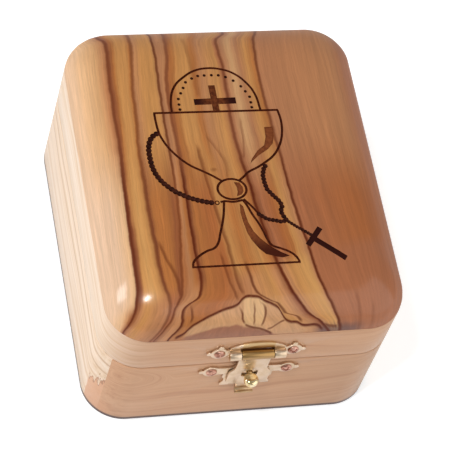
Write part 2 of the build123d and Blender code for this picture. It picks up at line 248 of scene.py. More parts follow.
# figured olive wood of the lid slab
slabFigure = {
    "top": 52.7,
    "halfWidth": 46,
    "halfLength": 51,
    "roundStart": (23, 29.5),  # where the round-over begins, across the box and along it
    "roundReach": 15,
    "waver": {"across": 0.22, "along": 0.3, "reach": 0.7},
    "drift": 1.6, "ragged": 2,  # how far the streaks push the tones aside, and the edges at the glue line
    "backBlend": (-14, 10),  # front tones give way to back ones
    "frontBlend": (-34.5, -29.5),  # edge tones give way to front ones, on a line that slants
    "frontSlant": 0.24,
    "contrast": {"fine": (0.56, 0.3), "calmFrom": (10, 14), "broad": 0.5, "pores": 0.16},
    "varnish": {"plain": 0.7, "veined": 0.15, "facing": (0.4, 0.75, 1, 0.1)},
    "veinEnds": {"long": (1.5, 3), "arch": (0.8, 0.8)},
    # veins that the whole figure follows, as (place along the box, place across it)
    "guides": {
        "A": [(46, -31.5), (42, -30.2), (39.5, -29.1), (34, -28.9), (28, -29.3), (16, -29.8), (6, -29.9), (-6, -30.6),
              (-18, -31.1), (-30, -31.5), (-35, -31.8), (-38, -32.5), (-40.7, -33.5), (-42.9, -34.7), (-44.6, -36.4),
              (-46, -38.5), (-50, -43)],
        "B": [(46, -21.8), (36, -22.2), (28, -23.2), (20, -24), (12, -24.5), (4, -25.2), (-6, -25.4), (-12, -25.6),
              (-24, -25.5), (-32, -25.3), (-36, -24.7), (-38.4, -24.1), (-41, -23.9), (-43.4, -24.7), (-46.2, -26.2),
              (-48.2, -28.1), (-50, -30.5)],
        "C": [(46, -16), (38, -16.3), (30, -16.7), (24, -17), (16, -17.3), (8, -17.5), (-6, -17.7), (-12, -18),
              (-18, -18.4), (-24, -19.2), (-28, -19.8), (-33, -20.3), (-37.6, -20.8), (-39.8, -21.8), (-42, -22.8),
              (-44.3, -23.6), (-46.2, -25), (-48.2, -26.8), (-50, -29.2)],
        "C2": [(46, -12.6), (38, -13), (34, -13.5), (30, -13.9), (26, -14.7), (22, -15.2), (16, -15.5), (0, -15.4),
               (-10, -15.6), (-18, -15.8), (-28, -16), (-37.3, -16.2), (-39, -17.2), (-40, -18.8), (-41, -20),
               (-42.6, -20.8), (-45.1, -20.9), (-47, -21.7), (-48.4, -22.8), (-50, -24.2)],
        "D": [(46, 4), (41, 3.2), (39.5, 2.2), (38, 0.9), (36, 0.4), (32, 0.3), (28, 0.5), (22, 0.3), (8, -0.2),
              (0, 0.3), (-8, 1.2), (-16, 1.8), (-24, 2.9), (-31.2, 4.1), (-35, 5.4), (-37.3, 6.3), (-39.8, 7.7),
              (-42.3, 9.3), (-44.3, 10.7), (-45.8, 12.4), (-46.5, 13.6), (-47.9, 14.9), (-50, 17)],
        "E": [(46, 13), (41, 12), (38, 10.8), (34, 10), (26, 9.5), (16, 9.7), (8, 10.1), (0, 10.6), (-8, 11),
              (-16, 11.5), (-26.8, 12.7), (-32.3, 13.2), (-35.7, 14.1), (-39.3, 15.4), (-42.1, 16.6), (-44.6, 17.7),
              (-47.1, 18.8), (-50, 19.6)],
    },
    "straight": {"A": -30.2, "B": -25.3, "C": -17.6, "C2": -15.4, "D": 0.3, "E": 10.6},  # where each guide is drawn
    # name: left fade, right fade, strength at the back, strength at the front
    "guideMarks": {
        "A": (0.6, 0.9, 0.6, 0.85), "B": (0.7, 0.9, 0.62, 0.6), "C": (0.55, 0.65, 0.85, 0.6),
        "C2": (0.45, 0.9, 0.4, 1), "D": (0.8, 0.7, 0.66, 1), "E": (0.6, 0.8, 0.75, 0.95),
    },
    # shorter veins that run along the box: points, left fade, right fade, strength, first and last place
    "longVeins": [
        ([(-22, -24.9), (-28.4, -23.3), (-32.3, -21.9), (-35.7, -21.3), (-38.5, -21.2)], 0.6, 0.9, 0.6,
          (-39, -22)),
        ([(-40, -18.9), (-43, -18.4), (-46, -19)], 0.35, 0.7, 0.7, (-46, -39.5)),
        ([(6, -10.6), (0, -10.1), (-6, -9.7), (-13, -9), (-20, -8.3), (-25, -7.7), (-31, -7.2), (-36.5, -6.4),
          (-38.6, -5.6)], 0.45, 1.1, 0.6, (-39, 5)),
        ([(-22, -10.4), (-31, -9.4), (-33.7, -8.9), (-36.5, -8.1), (-40, -6.9)], 0.5, 0.8, 0.55, (-40.5, -26)),
        ([(-26, -4.4), (-31.2, -3.9), (-33.7, -3.3), (-36.8, -2.6), (-38.4, -1.7), (-39.8, 0.2), (-40.7, 1.6),
          (-41.2, 2.9), (-42.6, 4.1), (-44.3, 5.2), (-44.8, 7.1), (-45.7, 8.5), (-47.4, 9.3)], 0.7, 0.7, 0.8,
          (-47.6, -29)),
        ([(9, -8.3), (6, -7.3), (4, -6.3), (2, -5.3), (0, -4.5), (-2, -4.1), (-4, -4.1), (-7, -4.6)], 0.25, 1.1,
          0.35, (-6.5, 8)),
        ([(14, 2.2), (8, 2), (4, 1.7), (0, 1)], 0.3, 0.6, 0.4, (-1, 13)),
        ([(38, -8.2), (28, -7.8), (20, -7.5)], 0.8, 1.2, 0.3, (18, 40)),
        ([(-41.2, -7), (-41.8, -6.7), (-43.4, -5.9), (-45.7, -5.6), (-47.2, -4.6)], 0.45, 0.5, 0.85,
          (-47.2, -41)),
        ([(-40, -3.1), (-43.4, -2.8), (-47.8, -2.9)], 0.35, 0.4, 0.7, (-47.6, -39.6)),
        ([(-39.8, -2), (-40.7, -1.2), (-41.8, -0.4), (-44, 0), (-46.2, -0.4), (-48.2, -1.2)], 0.45, 0.5, 0.8,
          (-48, -39.8)),
        ([(-34, 22.3), (-40, 23.2), (-46, 24.4), (-50, 25)], 0.8, 1, 0.28, (-51, -38)),
        ([(-34, 27.6), (-42, 28.1), (-50, 29)], 0.8, 1, 0.22, (-51, -41)),
    ],
    # veins of the arch above the latch, which run across the box: the first is the arch itself
    "archVeins": [
        ([(-24, -50.5), (-21.9, -49.3), (-20.3, -48.4), (-18.9, -46.8), (-16.4, -45.1), (-13.3, -43.4),
          (-10.6, -42.2), (-7.2, -41.1), (-5.8, -39.7), (-5, -39.1), (-2.8, -39.1), (-1.5, -39.4), (-0.4, -40.3),
          (1.6, -41.4), (3.2, -42.5), (4.1, -44.2), (5.2, -45.9), (6.3, -46.6), (8.2, -46.9), (9.6, -47.8),
          (13.5, -48.1), (15, -49.4)], 0.85, 0.6, 1, (-22.5, 15.5)),
        ([(-5.4, -46.4), (-4.7, -46.9), (-3.1, -47.6), (-1.1, -48.2), (1.6, -49.4), (3, -50.2)], 0.6, 0.5, 0.85,
          (-5.4, 2.6)),
        ([(-1.4, -48.3), (1.6, -48.2), (2.9, -47.3), (4.3, -46.4), (5.4, -46.1)], 0.5, 0.45, 0.7, (0.4, 5.4)),
        ([(14.5, -47.6), (16.3, -48.4), (19, -48.8)], 0.8, 0.6, 0.7, (14.4, 19)),
    ],
    "palette": {
        "cream": (216, 178, 145), "wheat": (218, 172, 126), "sand": (206, 156, 106), "gold": (194, 135, 74),
        "straw": (202, 147, 84), "honey": (173, 105, 49), "amber": (166, 95, 45), "tan": (184, 125, 80),
        "clay": (175, 116, 76), "rust": (165, 100, 62), "umber": (142, 78, 40), "bark": (112, 56, 28),
    },
    "backTones": [
        (-46, "cream"), (-37, "wheat"), (-33.5, "sand"), (-31.2, "tan"), (-30.3, "umber"), (-29.8, "umber"),
        (-29.1, "honey"), (-28.3, "gold"), (-26.4, "gold"), (-25.4, "honey"), (-24.4, "tan"), (-22, "gold"),
        (-18.6, "gold"), (-17.2, "clay"), (-16, "tan"), (-15, "umber"), (-13.8, "honey"), (-12, "gold"),
        (-9.4, "gold"), (-7.6, "honey"), (-6, "tan"), (-1.6, "gold"), (0, "rust"), (1.2, "clay"), (3.2, "sand"),
        (5.6, "clay"), (7.8, "gold"), (9.9, "honey"), (11.2, "clay"), (31, "tan"), (36, "rust"), (46, "rust"),
    ],
    "frontTones": [
        (-46, "cream"), (-35, "cream"), (-31.1, "wheat"), (-30.5, "bark"), (-29.5, "umber"), (-28.8, "gold"),
        (-27.6, "straw"), (-26.2, "gold"), (-25.2, "umber"), (-24.2, "honey"), (-20.6, "honey"), (-18.6, "umber"),
        (-17.4, "amber"), (-16.7, "tan"), (-16.1, "honey"), (-15.2, "umber"), (-14.2, "honey"), (-11, "amber"),
        (-9.4, "amber"), (-8.2, "gold"), (-5.2, "honey"), (-2.8, "gold"), (-0.8, "honey"), (0.8, "umber"),
        (2, "rust"), (4.8, "amber"), (6.4, "honey"), (7.6, "gold"), (9.8, "tan"), (11.2, "rust"), (28, "amber"),
        (46, "rust"),
    ],
    "edgeTones": [
        (-46, "cream"), (-35, "wheat"), (-32.4, "tan"), (-31, "umber"), (-30, "umber"), (-29.4, "tan"),
        (-28.6, "gold"), (-27, "tan"), (-25.2, "clay"), (-24, "rust"), (-20, "rust"), (-17.6, "umber"),
        (-16.6, "tan"), (-15.6, "tan"), (-15, "honey"), (-11, "amber"), (-6, "tan"), (-2.4, "gold"), (-0.9, "tan"),
        (0.1, "umber"), (0.6, "umber"), (1.2, "tan"), (4, "gold"), (8.6, "straw"), (10.2, "tan"), (11.2, "rust"),
        (30, "rust"), (46, "rust"),
    ],
    "veinTone": (92, 32, 4),
    "arch": {
        "span": (-21, -18.5, 8, 14), "fade": (0, 0.4),
        "rimTone": (200, 148, 102),
        "smokeTone": (152, 96, 66), "smokeFade": (-0.2, 0.7),
        "smokeEdge": [(-22, -49.7), (-18, -48.4), (-14, -47.4), (-11, -46.9), (-7.5, -46.7), (-5, -47.1), (-2, -48),
                      (0.5, -48.9), (3, -49.8)],
        "lobeTone": (212, 166, 116), "lobeSpan": (-6, -5, -0.8, 0.4), "lobeFront": (-48.2, -46),
    },
    "patch": {"tone": (96, 58, 50), "span": (12, 15.5, 22, 29), "reach": (-49.6, -47), "strength": 0.8},
    "buriedKnot": {"place": (-7.3, -3.3), "stretch": (0.9, 1.3), "reach": (0.2, 1.1), "strength": 0.42},
}


def makeOliveFigure(figure):
    material, surface = newMaterial("figuredOlive", Coat_Roughness=0.17, Coat_IOR=1.5, Specular_IOR_Level=0.1)
    x, y, z = objectMillimetres()
    halfWidth, halfLength = figure["halfWidth"], figure["halfLength"]

    # unroll the round-over, so that the lines run on over the edge
    drop = product(less(figure["top"], z), 0.5)

    def unroll(place, start):
        past = less(calc("ABSOLUTE", place), start)
        share = calc("DIVIDE", past, figure["roundReach"], clamp=True)
        return total(place, product(calc("SIGN", place), drop, share))

    plainAcross, along = [unroll(place, start) for place, start in zip((x, y), figure["roundStart"])]
    waver = figure["waver"]
    waverPlace = joinAxes(product(plainAcross, waver["across"]), product(along, waver["along"]))
    sway = less(noise(waverPlace, 3, 0.55), 0.5)
    across = total(plainAcross, product(sway, waver["reach"]))

    def alongLine(points):
        return follow(along, points, halfLength, halfWidth)

    def acrossLine(points):
        return follow(across, points, halfWidth, halfLength)

    # straighten the figure: between two guides the grain keeps its share of the way
    guides = {name: alongLine(points) for name, points in figure["guides"].items()}
    lines = [-halfWidth] + list(guides.values()) + [halfWidth]
    places = [-halfWidth] + [figure["straight"][name] for name in guides] + [halfWidth]
    straight = -halfWidth
    for lineA, lineB, placeA, placeB in zip(lines, lines[1:], places, places[1:]):
        share = calc("DIVIDE", less(across, lineA), less(lineB, lineA), clamp=True)
        straight = total(straight, product(share, placeB - placeA))

    # tones across the slab, which change from its front edge to its back
    grain = placeGroup(woodGrain, Along=along, Across=straight, Deep=product(z, 0.1))
    streak = less(grain["Streak"], 0.5)
    toned = total(straight, product(streak, figure["drift"]))
    edgeTones, frontTones, backTones = [
        ramp(toned, [(place, figure["palette"][key]) for place, key in figure[row]], -halfWidth, halfWidth)
        for row in ("edgeTones", "frontTones", "backTones")
    ]
    backward = fade(along, *figure["backBlend"])
    slanted = less(along, product(across, figure["frontSlant"]))
    forward = fade(slanted, *figure["frontBlend"])
    colour = blendColours(backward, blendColours(forward, edgeTones, frontTones), backTones)

    # paler wood under the arch above the latch, with a smoky band along the glue line
    arch, patch = figure["arch"], figure["patch"]
    belowArch = less(acrossLine(figure["archVeins"][0][0]), along)
    ragged = product(streak, figure["ragged"])
    insideArch = product(fade(belowArch, *arch["fade"]), band(across, *arch["span"]))
    belowSmoke = total(acrossLine(arch["smokeEdge"]), product(along, -1), ragged)
    smoke = fade(belowSmoke, *arch["smokeFade"])
    archColour = blendColours(smoke, tone(*arch["rimTone"]), tone(*arch["smokeTone"]))
    colour = blendColours(insideArch, colour, archColour)
    lobes = product(band(across, *arch["lobeSpan"]), insideArch, fade(along, *arch["lobeFront"]))
    colour = stain(colour, lobes, arch["lobeTone"])
    nearGlue = fade(total(along, ragged), *patch["reach"], 1, 0)
    colour = stain(colour, product(nearGlue, band(across, *patch["span"])), patch["tone"], patch["strength"])

    # fine streaks and pores over the tones, quieter in the plain wood on the right
    contrast = figure["contrast"]
    calm = fade(across, *contrast["calmFrom"], *contrast["fine"])
    fine = linear(less(grain["Fine"], 0.5), calm, 0.995)
    broad = linear(grain["Streak"], contrast["broad"], 0.74)
    pores = linear(grain["Pores"], -contrast["pores"], 1)
    colour = shadeBy(colour, product(fine, broad, pores))

    # the veins
    marks = []
    for name, (left, right, back, front) in figure["guideMarks"].items():
        mask = placeGroup(veinLine, Across=across, Centre=guides[name], Left=left, Right=right)["Mask"]
        marks.append(product(mask, fade(backward, 0, 1, front, back)))
    for kind, place, run, makeLine in (("long", across, along, alongLine), ("arch", along, across, acrossLine)):
        endIn, endOut = figure["veinEnds"][kind]
        for points, left, right, strength, (first, last) in figure[kind + "Veins"]:
            mask = placeGroup(veinLine, Across=place, Centre=makeLine(points), Left=left, Right=right)["Mask"]
            ends = band(run, first, first + endIn, last - endOut, last)
            marks.append(product(mask, ends, strength))
    knot = figure["buriedKnot"]
    offsets = [
        product(less(place, middle), stretch)
        for place, middle, stretch in zip((across, along), knot["place"], knot["stretch"])
    ]
    knotReach = calc("SQRT", sumSquares(*offsets))
    marks.append(fade(knotReach, *knot["reach"], knot["strength"], 0))
    broken = linear(grain["Fine"], 0.5, 0.72)
    vein = calc("MULTIPLY", chain("MAXIMUM", marks), broken, clamp=True)
    colour = stain(colour, vein, figure["veinTone"])
    plug(surface["Base Color"], colour)

    # the varnish is dull in the veins and where it is seen along the surface
    facing = addNode("ShaderNodeLayerWeight", {"Blend": 0.5}).outputs["Facing"]
    varnish = figure["varnish"]
    coat = linear(vein, varnish["veined"] - varnish["plain"], varnish["plain"])
    plug(surface["Coat Weight"], product(coat, fade(facing, *varnish["facing"])))
    finishWood(surface, grain, 0.15)
    return material


figuredOlive = makeOliveFigure(slabFigure)
print("slab figure ready")


# burnt marks of the engraving, in the order of their places on the slab
burnLook = {
    "burntLine": {"dark": (54, 14, 4), "light": (86, 34, 12), "spread": 0.14},
    "burntShade": {"dark": (72, 30, 12), "light": (112, 58, 28), "spread": 0.16,
                   "deeper": {"axis": "X", "middle": -3.4, "reach": (1.4, 4.4), "tone": (46, 14, 8)}},
    "burntBead": {"dark": (38, 12, 6), "light": (68, 28, 16), "spread": 0.14},
    "burntTint": {"dark": (104, 52, 26), "light": (132, 72, 38), "spread": 0.2,
                  "deeper": {"axis": "Y", "middle": 0, "reach": (22, 27.5), "tone": (66, 24, 10)}},
}


def makeBurn(name, look):
    material, surface = newMaterial(name, Roughness=0.6, Specular_IOR_Level=0.08, Coat_Weight=0)
    place = objectMillimetres()

    def scorch(scaleX, scaleY, detail):
        spot = joinAxes(product(place["X"], scaleX), product(place["Y"], scaleY))
        return noise(spot, detail, 0.6)

    char, speck = scorch(1.1, 1.1, 3), scorch(5, 1.5, 2)
    mixed = total(product(char, 0.7), product(speck, 0.3))
    mask = fade(mixed, 0.5 - look["spread"], 0.5 + look["spread"])
    colour = blendColours(mask, tone(*look["dark"]), tone(*look["light"]))
    if "deeper" in look:  # burnt deeper away from a middle line
        deeper = look["deeper"]
        reach = calc("ABSOLUTE", less(place[deeper["axis"]], deeper["middle"]))
        colour = stain(colour, fade(reach, *deeper["reach"]), deeper["tone"])
    plug(surface["Base Color"], colour)
    addRelief(surface, speck, 0.05, 0.6)
    return material


slabFinishes = [figuredOlive] + [makeBurn(name, look) for name, look in burnLook.items()]


# plain olive boards
boardLook = {
    # tones from dark to pale and where they lie
    "tan": [(193, 143, 108), (201, 153, 117), (205, 158, 122), (208, 162, 127)],
    "cream": [(214, 180, 147), (223, 195, 165), (229, 204, 180), (234, 214, 194)],
    "tonePlaces": (0.36, 0.44, 0.52, 0.62),
    "frontLeft": (-38, -44.5),
    "swayScales": (0.03, 0.05, 0.03), "ringScales": (0.006, 0.1), "ringShare": 0.45,
    "tones": "tan", "sway": 6, "lean": 0, "rings": 0.32,
    "front": {"lean": -0.1},  # where the front and the sides differ
    "side": {"tones": "cream", "sway": 4, "rings": 0.45},
    "railPales": (-12, 16),  # the rim goes from cream to tan round the front left corner
    "swirl": {"x": -31, "z": 22, "stretch": 0.5, "reach": (2.5, 6.5), "rings": 1.2},
    "sideLines": [(24.2, 0.5), (19.4, 0.42), (14.2, 0.2)],  # darker lines as (height, strength)
    "lineTone": (168, 118, 76), "lineFade": (0.35, 1.1),
    "patch": {"rag": (1.3, 0.25), "rise": 14, "slant": 0.9, "reach": 1.5, "near": (-36.4, -35.8),
              "fill": (-14.5, -14), "rim": (-16.2, -14.6, -14.5, -13.6)},
    "cornerTone": (212, 156, 118), "cornerEdge": (150, 100, 70),
    # warmth beside the front's left joint, then painted shade that darkens the front towards its right end
    "warmAcross": (-34.5, -31), "warmUp": (3, 9), "rightShade": (-10, 40, 1, 0.87),
    # painted contact shadow along the foot edge: its tone, and the heights and strengths over which it fades
    "contactShadowTone": (58, 36, 42), "contactShadowLine": (1.25, 1.95, 0.92, 0),
}


def makeBoardWood(name, kind):  # kind is front, side, rail or panel
    material, surface = newMaterial(name, Coat_Roughness=0.16, Coat_Weight=0.45, Coat_IOR=1.5, Specular_IOR_Level=0.1)
    look = {**boardLook, **boardLook.get(kind, {})}
    x, y, z = objectMillimetres()
    cornerX, cornerY = look["frontLeft"]
    bend = less(less(x, cornerX), less(y, cornerY))  # runs on round the front left corner
    along, deep, rise = {"front": (x, y, z), "side": (y, x, z), "rail": (bend, 0, z), "panel": (x, y, y)}[kind]

    # growth lines
    swayPlace = joinAxes(*[product(place, scale) for place, scale in zip((along, z, deep), look["swayScales"])])
    sway = product(less(noise(swayPlace), 0.5), look["sway"])
    level = total(rise, sway, product(along, look["lean"]))
    if kind == "front":  # a small swirl where the grain turns round a buried knot
        swirl = look["swirl"]
        offsets = product(less(x, swirl["x"]), swirl["stretch"]), less(z, swirl["z"])
        reach = calc("SQRT", sumSquares(*offsets))
        mask = fade(reach, *swirl["reach"], 1, 0)
        ringed = product(reach, swirl["rings"], mask)
        level = total(ringed, product(level, less(1, mask)))
    grain = placeGroup(woodGrain, Along=along, Across=level, Deep=deep)
    ringAlong, ringDeep = look["ringScales"]
    ringPlace = joinAxes(product(level, look["rings"]), product(along, ringAlong), product(deep, ringDeep))
    rings, share = noise(ringPlace, 3, 0.6), look["ringShare"]
    mixed = total(product(rings, share), product(grain["Streak"], 1 - share))

    def tonesOf(key):
        return ramp(mixed, list(zip(look["tonePlaces"], look[key])), 0, 1)

    colour = tonesOf(look["tones"])
    if kind == "rail":
        pale = fade(bend, *look["railPales"], 1, 0)
        colour = blendColours(pale, colour, tonesOf("cream"))
    if kind == "side":
        left, right = look["lineFade"]
        for height, strength in look["sideLines"]:
            mask = placeGroup(veinLine, Across=level, Centre=height, Left=left, Right=right)["Mask"]
            colour = stain(colour, mask, look["lineTone"], strength)
        # a ragged darker patch low down beside the front joint, on the left board alone
        patch = look["patch"]
        ragPlace = joinAxes(*[product(place, scale) for place, scale in zip((y, z), patch["rag"])])
        rag = noise(ragPlace, 2, 0.6)
        edge = total(z, product(rag, patch["rise"]), product(y, patch["slant"]))
        fromFront = total(y, calc("MAXIMUM", x, 0), product(rag, patch["reach"]))
        near = fade(fromFront, *patch["near"], 1, 0)
        corner = product(near, fade(edge, *patch["fill"], 1, 0))
        rim = product(near, band(edge, *patch["rim"]))
        colour = stain(colour, corner, look["cornerTone"], 0.85)
        colour = stain(colour, rim, look["cornerEdge"], 0.65)
    if kind == "front":  # warmer beside the left joint, and painted shade that darkens it towards the right
        beside = fade(x, *look["warmAcross"], 1, 0)
        warm = product(beside, fade(z, *look["warmUp"], 1, 0))
        colour = stain(colour, warm, look["cornerTone"], 0.8)
        colour = shadeBy(colour, fade(x, *look["rightShade"]))
    fine, pores = linear(grain["Fine"], 0.2, 0.9), linear(grain["Pores"], -0.12, 1)
    colour = shadeBy(colour, product(fine, pores))
    if kind in ("front", "side"):  # the foot edge is darkened with a painted contact shadow, but not the underside
        normal = addNode("ShaderNodeNewGeometry").outputs["Normal"]
        upward = addNode("ShaderNodeSeparateXYZ", {0: normal}).outputs["Z"]
        foot = product(fade(z, *look["contactShadowLine"]), fade(upward, -0.95, -0.8))
        colour = stain(colour, foot, look["contactShadowTone"])
    plug(surface["Base Color"], colour)
    finishWood(surface, grain, 0.2)
    return material


woodNames = {"front": "frontBoardWood", "side": "sideBoardWood", "rail": "railWood", "panel": "panelWood"}
boardWood = {kind: makeBoardWood(name, kind) for kind, name in woodNames.items()}


# brass
brassLook = {
    # pale tone, dark tone, roughness
    "sheetBrass": ((225, 202, 177), (213, 187, 156), (0.24, 0.4)),
    "pinBrass": ((206, 170, 104), (160, 120, 66), (0.22, 0.4)),
    "screwBrass": ((216, 168, 148), (160, 106, 88), (0.25, 0.45)),
    "knobBrass": ((246, 230, 190), (222, 194, 140), (0.08, 0.18)),
}
brushing = 0.08
# the latch's sheet is golden above the hasp's pin, and darker brown round the pin and at the hasp's lip
latchTint = {
    "pin": (-45.9, 34.3),  # back to front, height
    "span": (-4.2, -4, 4, 4.4),
    "barrel": (2, 3.2),  # squares of the distance from the pin
    "above": (34.6, 35.4), "lip": (18.6, 17.2),
    "goldTone": (206, 172, 112), "darkerTone": (164, 124, 70),
}


def makeBrass(name, look):
    material, surface = newMaterial(name, Metallic=1)
    x, y, z = objectMillimetres()
    wear = placeGroup(metalWear, X=x, Y=y, Z=z)
    pale, dark, (low, high) = look
    colour = blendColours(fade(wear["Smudge"], 0.32, 0.62), tone(*dark), tone(*pale))
    if name == "sheetBrass":
        pinY, pinZ = latchTint["pin"]
        fromPin = sumSquares(less(y, pinY), less(z, pinZ))
        span = band(x, *latchTint["span"])
        for mask, key, strength in (
            (fade(z, *latchTint["above"]), "goldTone", 0.7),
            (fade(z, *latchTint["lip"]), "darkerTone", 0.6),
            (fade(fromPin, *latchTint["barrel"], 1, 0), "darkerTone", 0.8),
        ):
            colour = stain(colour, product(span, mask), latchTint[key], strength)
    plug(surface["Base Color"], colour)
    rough = total(linear(wear["Smudge"], high - low, low - brushing / 2), product(wear["Brush"], brushing))
    plug(surface["Roughness"], rough)
    addRelief(surface, wear["Brush"], 0.005, 0.5)
    return material


brass = {name: makeBrass(name, look) for name, look in brassLook.items()}
print("materials ready")


# shapes
weldGap = 0.001  # points nearer than this many millimetres become one


def addObject(name, data):
    holder = bpy.data.objects.new(name, data)
    scene.collection.objects.link(holder)
    return holder


def evaluatedMesh(holder):
    bpy.context.view_layer.update()
    return bpy.data.meshes.new_from_object(holder.evaluated_get(bpy.context.evaluated_depsgraph_get()))


def finishPiece(name, mesh, body, materials, replaced, sharp=32):
    mesh.shade_smooth()
    mesh.set_sharp_from_angle(angle=radians(sharp))
    piece = addObject(name, mesh)
    if not mesh.materials:
        for material in materials:
            mesh.materials.append(material)
    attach(piece, body)
    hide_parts(*replaced)
    return piece


def meshOf(bm, name):
    mesh = bpy.data.meshes.new(name)
    bm.to_mesh(mesh)
    bm.free()
    return mesh


def extruded(bm, faces):  # the faces and points of a copy that stays joined to the faces
    grown = bmesh.ops.extrude_face_region(bm, geom=faces)["geom"]
    return [[part for part in grown if isinstance(part, kind)] for kind in (bmesh.types.BMFace, bmesh.types.BMVert)]


def turnOutline(bm, corners, centre, axis, steps, weld):  # a solid turned round an axis
    verts = [bm.verts.new(corner) for corner in corners]
    edges = [bm.edges.new(pair) for pair in zip(verts, verts[1:])]
    bmesh.ops.spin(bm, geom=verts + edges, cent=centre, axis=axis, angle=2 * pi, steps=steps, use_merge=True)
    bmesh.ops.remove_doubles(bm, verts=bm.verts, dist=weld)
    bmesh.ops.recalc_face_normals(bm, faces=bm.faces)


slabShape = {
    "width": 76, "depth": 89, "glueLine": 41.2, "thickness": 11.5,
    "cornerRadius": 10.6, "crownInset": 15, "capInset": 0.8, "levels": 14, "cornerSteps": 18, "glueEdge": 0.18,
}


def makeSlab(shape):
    bm = bmesh.new()
    bmesh.ops.create_grid(bm, x_segments=1, y_segments=1, size=0.5)
    bmesh.ops.scale(bm, vec=(shape["width"] * mm, shape["depth"] * mm, 1), verts=bm.verts)
    bmesh.ops.translate(bm, vec=(0, 0, shape["glueLine"] * mm), verts=bm.verts)
    bmesh.ops.bevel(bm, geom=list(bm.verts), offset=shape["cornerRadius"] * mm, offset_type="OFFSET",
                    segments=shape["cornerSteps"], profile=0.5, affect="VERTICES", material=-1)
    halfWidth, halfDepth, levels = shape["width"] / 2, shape["depth"] / 2, shape["levels"]
    insetBefore, heightBefore = 0, 0
    cap = bm.faces[:]
    for step in range(1, levels + 2):  # the last step is a ring on the flat top
        angle = min(step / levels, 1) * pi / 2
        inset = shape["crownInset"] * (1 - cos(angle)) + (shape["capInset"] if step > levels else 0)
        height = shape["thickness"] * sin(angle)
        newCap, verts = extruded(bm, cap)
        bmesh.ops.delete(bm, geom=[f for f in cap if f.is_valid and step > 1], context="FACES_ONLY")
        cap = newCap
        scale = ((halfWidth - inset) / (halfWidth - insetBefore), (halfDepth - inset) / (halfDepth - insetBefore), 1)
        bmesh.ops.scale(bm, vec=scale, verts=verts)
        bmesh.ops.translate(bm, vec=(0, 0, (height - heightBefore) * mm), verts=verts)
        insetBefore, heightBefore = inset, height
    bmesh.ops.recalc_face_normals(bm, faces=bm.faces)
    low = [e for e in bm.edges if all(v.co.z < (shape["glueLine"] + 0.01) * mm for v in e.verts)]
    bmesh.ops.bevel(bm, geom=low, offset=shape["glueEdge"] * mm, offset_type="OFFSET", segments=1, profile=0.5,
                    affect="EDGES", material=-1)
    return bm


